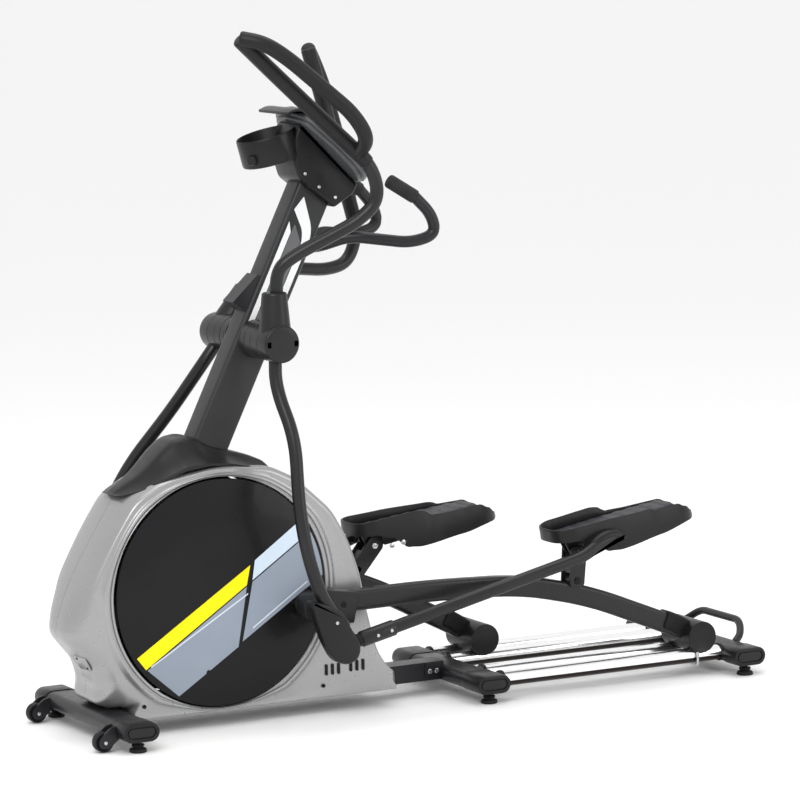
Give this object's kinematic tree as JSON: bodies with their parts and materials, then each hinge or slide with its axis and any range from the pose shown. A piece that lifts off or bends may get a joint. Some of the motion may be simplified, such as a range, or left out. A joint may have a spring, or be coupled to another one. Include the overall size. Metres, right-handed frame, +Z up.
{
  "type": "elliptical trainer",
  "caption": "Front-drive elliptical trainer with a round crank cover, pedal arms rolling on chrome rails, linked swinging handlebars, mast and console.",
  "frame": {"origin": "centre of the overall box in plan, on the floor", "axes": "+Z up, +X towards the rear stabiliser (the user steps on from there), -Y is the user's left"},
  "size_m": [1.9583, 0.6562, 1.7495],
  "materials": {
    "frame_paint": "satin powder coat",
    "mast_paint": "satin powder coat",
    "arm_paint": "satin powder coat",
    "pivot_paint": "satin powder coat",
    "chrome": "polished",
    "silver_cover": "silver metallic paint",
    "charcoal_cover": "fine texture",
    "disc_black": "satin with printed bands",
    "black_plastic": "moulded",
    "foot_rubber": "moulded",
    "wheel_plastic": "moulded",
    "mat_rubber": "ribbed",
    "grip_foam": "foam",
    "console_grey": "moulded",
    "display": "glossy window",
    "button_blue": "moulded",
    "button_red": "moulded",
    "steel": "plain",
    "pulley_plastic": "moulded",
    "iron": "machined"
  },
  "bodies": {
    "frame": {"base_frame": "frame_paint", "front_stabiliser": "frame_paint", "mid_stabiliser": "frame_paint", "rear_stabiliser": "frame_paint", "end_caps": "black_plastic", "feet": "foot_rubber", "wheel_brackets": "frame_paint", "rails": "chrome", "rear_handle": "frame_paint", "shroud_left": "silver_cover", "shroud_right": "silver_cover", "top_cover": "charcoal_cover", "access_panel": "silver_cover", "screws": "steel", "mast": "mast_paint", "gusset": "frame_paint", "pivot_axle": "pivot_paint", "console_neck": "black_plastic", "console_housing": "console_grey", "console_display": "display", "bottle_holder": "black_plastic", "fixed_handlebar": "frame_paint", "pulse_grips": "grip_foam", "brake_bracket": "frame_paint"},
    "crank": {"crank_axle": "steel", "drive_pulley": "pulley_plastic", "disc_left": "disc_black", "disc_right": "disc_black"},
    "flywheel": {"flywheel": "iron"},
    "wheel_left": {"transport_wheel_left": "wheel_plastic"},
    "wheel_right": {"transport_wheel_right": "wheel_plastic"},
    "button_up": {"button_up": "button_blue"},
    "button_start": {"button_start": "button_red"},
    "button_down": {"button_down": "button_blue"},
    "left_carriage": {"carriage_left": "steel"},
    "left_rollers": {"rollers_left": "wheel_plastic"},
    "left_arm": {"arm_left": "arm_paint", "arm_bracket_left": "arm_paint", "roller_cover_left": "black_plastic"},
    "left_rocker": {"rocker_left": "arm_paint"},
    "left_pedal": {"pedal_left": "black_plastic", "pedal_mat_left": "mat_rubber", "link_left": "arm_paint"},
    "left_handlebar": {"hub_left": "pivot_paint", "lower_bar_left": "arm_paint", "upper_bar_left": "arm_paint", "shoe_left": "black_plastic"},
    "right_carriage": {"carriage_right": "steel"},
    "right_rollers": {"rollers_right": "wheel_plastic"},
    "right_arm": {"arm_right": "arm_paint", "arm_bracket_right": "arm_paint", "roller_cover_right": "black_plastic"},
    "right_rocker": {"rocker_right": "arm_paint"},
    "right_pedal": {"pedal_right": "black_plastic", "pedal_mat_right": "mat_rubber", "link_right": "arm_paint"},
    "right_handlebar": {"hub_right": "pivot_paint", "lower_bar_right": "arm_paint", "upper_bar_right": "arm_paint", "shoe_right": "black_plastic"}
  },
  "joints": [
    {"name": "crank_spin", "type": "hinge", "parent": "frame", "child": "crank", "pos_m": [-0.576, 0, 0.347], "axis": [0, 1, 0], "continuous": true},
    {"name": "flywheel_spin", "type": "hinge", "parent": "frame", "child": "flywheel", "pos_m": [-0.276, 0, 0.3], "axis": [0, 1, 0], "continuous": true},
    {"name": "left_transport_wheel", "type": "hinge", "parent": "frame", "child": "wheel_left", "pos_m": [-0.948, -0.208, 0.026], "axis": [0, 1, 0], "continuous": true},
    {"name": "right_transport_wheel", "type": "hinge", "parent": "frame", "child": "wheel_right", "pos_m": [-0.948, 0.208, 0.026], "axis": [0, 1, 0], "continuous": true},
    {"name": "button_up", "type": "slide", "parent": "frame", "child": "button_up", "axis": [-0.7071, 0, -0.7071], "range_m": [0, 0.0015], "stiffness_N_per_m": 1200, "springref_m": -0.0008},
    {"name": "button_start", "type": "slide", "parent": "frame", "child": "button_start", "axis": [-0.7071, 0, -0.7071], "range_m": [0, 0.0015], "stiffness_N_per_m": 1200, "springref_m": -0.0008},
    {"name": "button_down", "type": "slide", "parent": "frame", "child": "button_down", "axis": [-0.7071, 0, -0.7071], "range_m": [0, 0.0015], "stiffness_N_per_m": 1200, "springref_m": -0.0008},
    {"name": "left_carriage", "type": "slide", "parent": "frame", "child": "left_carriage", "axis": [1, 0, 0], "range_m": [-0.49545, 0]},
    {"name": "left_arm", "type": "hinge", "parent": "left_carriage", "child": "left_arm", "pos_m": [0.77738, -0.145, 0.105], "axis": [0, 1, 0], "range_deg": [0, 5.21]},
    {"name": "left_rocker", "type": "hinge", "parent": "left_arm", "child": "left_rocker", "pos_m": [0.41789, -0.145, 0.28643], "axis": [0, 1, 0], "range_deg": [0, 29.59]},
    {"name": "left_pedal", "type": "hinge", "parent": "left_rocker", "child": "left_pedal", "pos_m": [0.42398, -0.145, 0.36209], "axis": [0, 1, 0], "range_deg": [-31.74, 0]},
    {"name": "left_handlebar", "type": "hinge", "parent": "frame", "child": "left_handlebar", "pos_m": [-0.426, -0.15, 0.967], "axis": [0, 1, 0], "range_deg": [0, 34.05]},
    {"name": "left_rollers", "type": "hinge", "parent": "left_carriage", "child": "left_rollers", "pos_m": [0.77738, -0.144, 0.105], "axis": [0, 1, 0], "continuous": true},
    {"name": "right_carriage", "type": "slide", "parent": "frame", "child": "right_carriage", "axis": [1, 0, 0], "range_m": [0, 0.49545]},
    {"name": "right_arm", "type": "hinge", "parent": "right_carriage", "child": "right_arm", "pos_m": [0.28193, 0.145, 0.105], "axis": [0, 1, 0], "range_deg": [-5.21, 0]},
    {"name": "right_rocker", "type": "hinge", "parent": "right_arm", "child": "right_rocker", "pos_m": [-0.05959, 0.145, 0.31833], "axis": [0, 1, 0], "range_deg": [-29.59, 0]},
    {"name": "right_pedal", "type": "hinge", "parent": "right_rocker", "child": "right_pedal", "pos_m": [-0.01141, 0.145, 0.37699], "axis": [0, 1, 0], "range_deg": [0, 31.74]},
    {"name": "right_handlebar", "type": "hinge", "parent": "frame", "child": "right_handlebar", "pos_m": [-0.426, 0.15, 0.967], "axis": [0, 1, 0], "range_deg": [-34.05, 0]},
    {"name": "right_rollers", "type": "hinge", "parent": "right_carriage", "child": "right_rollers", "pos_m": [0.28193, 0.144, 0.105], "axis": [0, 1, 0], "continuous": true}
  ],
  "couplings": [
    {"joint": "flywheel_spin", "follows": "crank_spin", "ratio": 7.5},
    {"joint": "left_arm", "follows": "left_carriage", "rad_per_m": -0.18357},
    {"joint": "left_rocker", "follows": "left_carriage", "rad_per_m": -1.0423},
    {"joint": "left_pedal", "follows": "left_carriage", "rad_per_m": 1.1181},
    {"joint": "left_handlebar", "follows": "left_carriage", "rad_per_m": -1.1995},
    {"joint": "left_rollers", "follows": "left_carriage", "rad_per_m": 34.843},
    {"joint": "right_arm", "follows": "left_carriage", "rad_per_m": 0.18357},
    {"joint": "right_rocker", "follows": "left_carriage", "rad_per_m": 1.0423},
    {"joint": "right_pedal", "follows": "left_carriage", "rad_per_m": -1.1181},
    {"joint": "right_handlebar", "follows": "left_carriage", "rad_per_m": 1.1995},
    {"joint": "right_rollers", "follows": "left_carriage", "rad_per_m": -34.843},
    {"joint": "right_carriage", "follows": "left_carriage", "ratio": -1}
  ]
}
